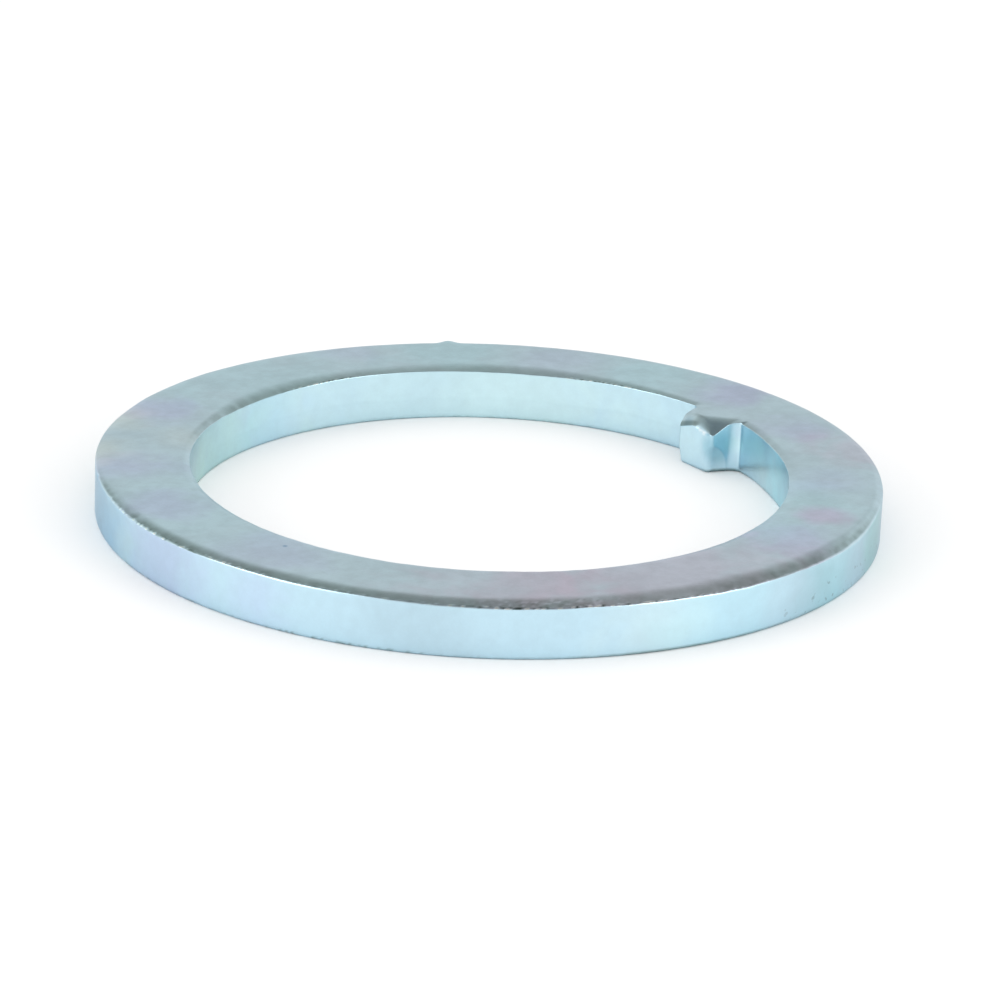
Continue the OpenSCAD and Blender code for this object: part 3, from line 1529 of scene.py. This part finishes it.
@dataclass
class Studio:
    """A white sheet under a pale sky that darkens overhead, and two soft lamps.

    Attributes:
        paper: The sheet's finish.
        half_size: Half the sheet's side, in metres.
        sky: The sky's colour at heights from the horizon, 0, to overhead, 1.
        fill: The level at which the sky lights what isn't metal.
        lamps: The lamps.
    """

    paper: WhitePaper
    half_size: float = 1.5
    sky: tuple[tuple[float, tuple[float, float, float]], ...] = (
        (0.0, (1.0, 1.0, 1.0)),
        (0.34, (0.96, 0.97, 0.98)),
        (0.42, (0.84, 0.85, 0.85)),
        (0.52, (0.55, 0.56, 0.54)),
        (0.64, (0.40, 0.41, 0.38)),
        (0.82, (0.30, 0.31, 0.29)),
        (1.0, (0.19, 0.205, 0.22)),
    )
    fill: float = 0.98
    lamps: tuple[Softbox, ...] = ()

    def build(self) -> None:
        """Makes the sheet, the sky and the lamps."""
        h = self.half_size
        mesh = bpy.data.meshes.new("sheet_mesh")
        mesh.from_pydata([(-h, -h, 0), (h, -h, 0), (h, h, 0), (-h, h, 0)], [], [(0, 1, 2, 3)])
        sheet = link_object(bpy.data.objects.new("floor_sheet", mesh))
        mesh.materials.append(self.paper.material())
        self.build_sky()
        for lamp in self.lamps:
            lamp.build()

    def build_sky(self) -> None:
        """Makes the world: the sky that metal and the camera see, and the even fill."""
        world = bpy.data.worlds.new("pale_sky")
        bpy.context.scene.world = world
        n = empty_nodes(world)
        split = n.add("ShaderNodeSeparateXYZ")
        n.join(n.add("ShaderNodeTexCoord").outputs["Generated"], split.inputs[0])
        ramp = n.add("ShaderNodeValToRGB")
        n.join(split.outputs["Z"], ramp.inputs["Fac"])
        stops = ramp.color_ramp.elements
        while len(stops) < len(self.sky):
            stops.new(0.5)
        for stop, (place, colour) in zip(stops, self.sky):
            stop.position = place
            stop.color = (*colour, 1.0)
        fill = (self.fill, self.fill, self.fill, 1.0)
        colour = n.mix(seen_directly(n), fill, ramp.outputs["Color"])
        background = n.add("ShaderNodeBackground")
        n.join(colour, background.inputs["Color"])
        n.end("ShaderNodeOutputWorld", background.outputs[0])


@dataclass(frozen=True)
class ProductCamera:
    """The camera, a long lens looking down on the washer from the front.

    Attributes:
        azimuth_deg: Direction it looks from, round the washer from the key's direction.
        elevation_deg: How steeply it looks down.
        roll_deg: How far it is turned about its own line of sight.
        distance: Distance from the washer's middle, in metres.
        lens: Focal length in millimetres on a 36 mm sensor.
        aside: How far its line of sight passes to the right of and above the middle, in metres.
    """

    azimuth_deg: float = 231.4
    elevation_deg: float = 19.77
    roll_deg: float = 2.44
    distance: float = 0.1985
    lens: float = 167.1
    aside: tuple[float, float] = (0.000525, 0.000624)

    def build(self) -> bpy.types.Object:
        """Makes the camera and sets it as the scene's.

        Returns:
            The camera's object.
        """
        azimuth, roll = math.radians(self.azimuth_deg), math.radians(self.roll_deg)
        back = direction(self.azimuth_deg, self.elevation_deg)
        level_right = Vector((-math.sin(azimuth), math.cos(azimuth), 0.0))
        level_up = back.cross(level_right)
        right = level_right * math.cos(roll) + level_up * math.sin(roll)
        up = level_up * math.cos(roll) - level_right * math.sin(roll)
        data = bpy.data.cameras.new("product_camera")
        data.lens = self.lens
        data.sensor_width = 36.0
        data.clip_start, data.clip_end = 0.01, 10.0
        camera = link_object(bpy.data.objects.new("product_camera", data))
        turn = Matrix((right, up, back)).transposed().to_4x4()
        centre = back * self.distance + right * self.aside[0] + up * self.aside[1]
        camera.matrix_world = Matrix.Translation(centre) @ turn
        bpy.context.scene.camera = camera
        return camera


# ---------------------------------------------------------------- assembly


def key_tip_distance(node: bpy.types.Object) -> float:
    """Distance in millimetres of the key's tip from the axis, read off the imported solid."""
    near_key = [v.co for v in node.data.vertices if v.co.x > 0 and abs(v.co.y) < 1 * MM]
    return min(co.x for co in near_key) / MM


def plating() -> ZincPassivate:
    """Chooses the washer's finish.

    Returns:
        The finish, with the tints that the passivate shows round the ring, and patches of
        painted highlight and shade on the key.
    """
    return ZincPassivate(
        face_patches=(
            *tint_patches(
                Tint.MAUVE,
                (262.0, 15.0, 10.0, 1.0),
                (236.0, 14.6, 6.0, 0.7),
                (336.0, 16.6, 3.6, 0.8),
            ),
            *tint_patches(Tint.MAGENTA, (302.0, 14.7, 1.6, 1.0)),
            *tint_patches(
                Tint.LILAC,
                (289.0, 14.6, 3.0, 0.8),
                (318.0, 14.4, 2.6, 0.6),
                (40.0, 14.8, 3.0, 0.4),
                (76.0, 15.9, 2.0, 0.4),
                (122.0, 15.3, 2.4, 0.9),
                (150.0, 15.4, 2.8, 0.8),
                (168.0, 15.0, 2.6, 0.8),
                (196.0, 14.8, 3.4, 0.6),
                (346.0, 14.9, 2.4, 0.7),
                (7.0, 15.4, 2.6, 1.0),
            ),
            *tint_patches(
                Tint.STRAW,
                (128.0, 16.8, 2.2, 0.8),
                (143.0, 16.8, 2.4, 0.8),
                (135.0, 13.2, 2.0, 0.4),
            ),
            *tint_patches(
                Tint.CYAN,
                (292.0, 13.4, 3.0, 0.9),
                (312.0, 13.6, 4.0, 0.9),
                (22.0, 15.0, 4.0, 1.0),
                (60.0, 15.0, 4.0, 1.0),
                (100.0, 14.5, 7.0, 0.7),
                (170.0, 14.5, 9.0, 0.5),
            ),
            # Painted shade on the key's top by its tip, and a dark speck on the upper face
            *tint_patches(
                Tint.SPECK_AND_SHADE,
                (357.0, 11.65, 1.0, 0.35, 1.9),
                (3.4, 11.56, 0.5, 0.5, 1.95),
                (195.6, 13.81, 0.14, 1.0),
            ),
            *tint_patches(
                Tint.SMOKE,
                (242.0, 15.0, 7.0, 0.6),
                (6.0, 15.5, 2.0, 0.5),
            ),
        ),
        wall_patches=(
            *tint_patches(
                Tint.LILAC,
                (180.0, 16.75, 4.0, 0.8, 1.6),
                (199.0, 16.75, 2.2, 0.5, 1.2),
            ),
            *tint_patches(Tint.STRAW, (256.0, 16.75, 3.4, 0.5, 1.2)),
            *tint_patches(Tint.AQUA, (330.0, 12.75, 3.4, 0.9, 1.2)),
            # A painted highlight on the lip of the key's tip
            *tint_patches(
                Tint.PAINTED_HIGHLIGHT,
                (358.6, 11.51, 0.22, 1.0, 1.92),
                (357.3, 11.51, 0.22, 1.0, 1.86),
            ),
            *tint_patches(Tint.CYAN, (266.0, 16.75, 5.0, 0.7, 1.2)),
            *tint_patches(
                Tint.PALE,
                (46.0, 12.75, 6.0, 0.5, 0.3),
                (3.0, 11.5, 1.6, 0.6, 1.2),
                (353.4, 12.66, 0.5, 0.8, 1.2),
                (346.5, 12.9, 1.8, 1.0, 1.2),
                (338.0, 12.75, 3.2, 0.9, 1.2),
                (134.0, 12.75, 3.8, 1.0, 1.2),
            ),
            *tint_patches(
                Tint.SEA,
                (62.0, 12.75, 15.0, 0.75, 1.2),
                (120.0, 12.75, 7.0, 0.8, 1.2),
            ),
            *tint_patches(
                Tint.TEAL,
                (290.0, 16.75, 3.4, 0.8, 0.5),
                (354.5, 12.0, 0.9, 0.8, 1.4),
            ),
            *tint_patches(
                Tint.GREEN,
                (306.0, 16.75, 3.2, 0.8, 1.2),
                (122.0, 12.75, 4.4, 0.4, 1.2),
            ),
            *tint_patches(
                Tint.STEEL,
                (157.0, 16.75, 5.0, 0.8, 1.0),
                (104.0, 12.75, 2.6, 0.5, 1.2),
            ),
            # Painted shade on the key's -Y flank
            *tint_patches(Tint.SPECK_AND_SHADE, (354.5, 11.9, 0.95, 0.6, 1.2)),
            *tint_patches(
                Tint.SMOKE,
                (181.0, 16.75, 3.0, 0.7, 1.2),
                (224.0, 16.75, 3.4, 0.8, 1.2),
                (283.0, 16.75, 2.6, 0.8, 1.2),
            ),
        ),
    )


def main() -> None:
    """Builds the camera, the studio and the washer, and reports each."""
    logging.basicConfig(level=logging.INFO, format="%(name)s: %(message)s")
    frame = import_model()
    bpy.context.scene.view_settings.view_transform = "Standard"

    camera = ProductCamera().build()
    log.info("camera %s at %.0f mm", camera.name, ProductCamera.distance / MM)

    low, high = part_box(NODE)
    bore = next(m for m in frame["record"]["mounts"] if m["name"] == "keyed_bore")
    outer_r = (high.x - low.x) / 2 / MM
    outline = BoreOutline(
        bore_r=bore["dims"]["r_mm"],
        outer_r=outer_r,
        tip_x=key_tip_distance(frame["nodes"][NODE]),
        half_w=1.15,
        corner_r=0.15,
        torn_corner_r=0.28,
        root_r=0.34,
        relief=0.17,
    )
    washer = Washer(
        outer_r=outer_r,
        thickness=high.z / MM,
        outline=outline,
        finish=plating(),
        tears=(Tear(-1, 1.05, 0.25, 0.2, 0.3), Tear(1, 0.85, 0.19, 0.1, -0.15)),
        nicks=(
            Nick(58.9, 2.25, 1.0, 1.0, -0.2),
            Nick(153.0, 2.15, 0.5, 0.4, 0.06),
            Nick(162.0, 2.2, 0.35, 0.3, 0.05),
            Nick(171.5, 2.2, 0.45, 0.3, 0.05),
        ),
    )
    body = washer.build()
    washer.dress(body)
    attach(body, BODY)
    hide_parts(NODE)
    log.info("%s: %d faces", body.name, len(body.data.polygons))

    studio = Studio(
        paper=WhitePaper(),
        lamps=(
            Softbox("softbox_left", 170.0, 18.0, 0.6, (0.38, 0.34), 2.2),
            Softbox("softbox_right", 292.0, 18.0, 0.6, (0.34, 0.34), 2.2),
        ),
    )
    studio.build()
    log.info("studio: a sheet and %d lamps", len(studio.lamps))


if __name__ == "__main__":
    main()
